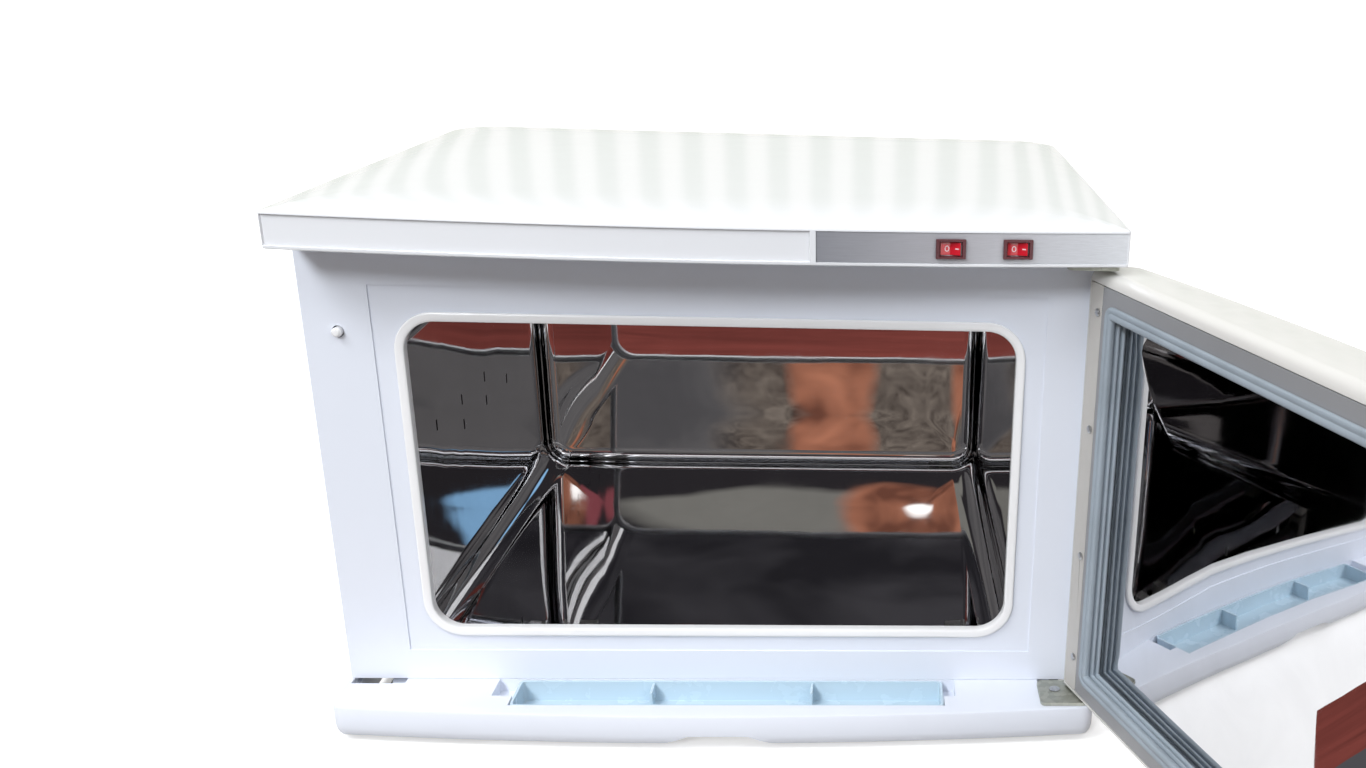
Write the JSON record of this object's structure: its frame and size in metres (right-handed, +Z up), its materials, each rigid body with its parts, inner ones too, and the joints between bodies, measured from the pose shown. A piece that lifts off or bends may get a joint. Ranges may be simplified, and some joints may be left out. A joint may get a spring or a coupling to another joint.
{
  "type": "hot towel cabinet",
  "caption": "Bench-top hot towel cabinet with a mirror-polished heated tank, ultraviolet lamp, lift-out drip tray, rocker switches and a right-hung insulated door.",
  "frame": {"origin": "middle of the space that the cabinet takes up with its door open as stored, on the plane of the feet", "axes": "+X to the cabinet's right as its user faces it, +Y from the front to the rear, +Z up; the hinge axis stands at x 136.9 mm, y 38.2 mm"},
  "size_m": [0.6102, 0.7524, 0.3178],
  "materials": {
    "body_white": "satin",
    "gloss_white": "gloss",
    "painted_steel": "satin",
    "door_cream": "gloss",
    "door_strip": "satin",
    "door_frame_grey": "satin",
    "polished_steel": "polished",
    "plated_steel": "satin",
    "galvanised_steel": "matte",
    "silver_overlay": "satin",
    "pin_brass": "satin",
    "foil": "satin",
    "silicone_red": "matte",
    "foot_rubber": "matte",
    "gasket_rubber": "satin",
    "insulation": "matte",
    "lamp_glass": "gloss",
    "holder_white": "satin",
    "black_plastic": "satin",
    "rocker_red": "gloss",
    "bezel_red": "satin",
    "tray_blue": "satin"
  },
  "bodies": {
    "cabinet": {"base_moulding": "body_white", "bottom_plate": "galvanised_steel", "foot_front_left": "foot_rubber", "foot_front_right": "foot_rubber", "foot_rear_left": "foot_rubber", "foot_rear_right": "foot_rubber", "front_frame": "body_white", "opening_trim": "gloss_white", "left_side_panel": "painted_steel", "right_side_panel": "painted_steel", "rear_panel": "painted_steel", "inner_tank": "polished_steel", "heater_pad": "foil", "heating_cord": "silicone_red", "thermostat": "black_plastic", "thermal_fuse": "plated_steel", "insulation_top": "insulation", "insulation_bottom": "insulation", "insulation_left": "insulation", "insulation_right": "insulation", "insulation_rear": "insulation", "lampholder_left": "holder_white", "lampholder_right": "holder_white", "uv_ballast": "plated_steel", "starter_holder": "holder_white", "starter": "holder_white", "terminal_block": "holder_white", "power_inlet": "black_plastic", "inlet_pin_live": "pin_brass", "inlet_pin_neutral": "pin_brass", "inlet_pin_earth": "pin_brass", "door_switch_body": "black_plastic", "top_cover": "gloss_white", "control_overlay": "silver_overlay", "switch_bezel_heat": "bezel_red", "switch_bezel_uv": "bezel_red", "lower_hinge_plate": "galvanised_steel", "upper_hinge_plate": "galvanised_steel", "lower_hinge_screw": "plated_steel", "upper_hinge_screw": "plated_steel"},
    "door": {"door_outer_shell": "door_cream", "door_inner_frame": "door_frame_grey", "door_hinge_strip": "door_strip", "door_gasket": "gasket_rubber", "door_mirror_panel": "polished_steel", "door_insulation": "insulation", "door_strip_screw_1": "plated_steel", "door_strip_screw_2": "plated_steel", "door_strip_screw_3": "plated_steel", "door_strip_screw_4": "plated_steel", "lower_hinge_bush": "holder_white", "upper_hinge_bush": "holder_white"},
    "plunger": {"door_switch_plunger": "gloss_white"},
    "heat_rocker": {"rocker_heat": "rocker_red"},
    "uv_rocker": {"rocker_uv": "rocker_red"},
    "tray": {"drip_tray": "tray_blue"},
    "lamp": {"uv_lamp_tube": "lamp_glass", "uv_lamp_cap_left": "plated_steel", "uv_lamp_cap_right": "plated_steel"}
  },
  "joints": [
    {"name": "door_hinge", "type": "hinge", "parent": "cabinet", "child": "door", "pos_m": [0.13688, 0.03824, 0.158], "axis": [0, 0, 1], "range_deg": [-110, 15]},
    {"name": "door_switch_press", "type": "slide", "parent": "cabinet", "child": "plunger", "axis": [0, -1, 0], "range_m": [-0.0035, 0.0006]},
    {"name": "heat_rocker_tilt", "type": "hinge", "parent": "cabinet", "child": "heat_rocker", "pos_m": [0.0486, 0.0091, 0.3032], "axis": [0, 0, 1], "range_deg": [0, 14]},
    {"name": "uv_rocker_tilt", "type": "hinge", "parent": "cabinet", "child": "uv_rocker", "pos_m": [0.08398, 0.01176, 0.3032], "axis": [0, 0, 1], "range_deg": [0, 14]},
    {"name": "tray_lift", "type": "slide", "parent": "cabinet", "child": "tray", "axis": [0, 0, 1], "range_m": [0, 0.026]},
    {"name": "lamp_turn", "type": "hinge", "parent": "cabinet", "child": "lamp", "pos_m": [-0.08012, 0.31124, 0.236], "axis": [1, 0, 0], "range_deg": [0, 90]}
  ],
  "couplings": [
    {"joint": "door_switch_press", "follows": "door_hinge", "m_per_rad": 0.001771}
  ]
}
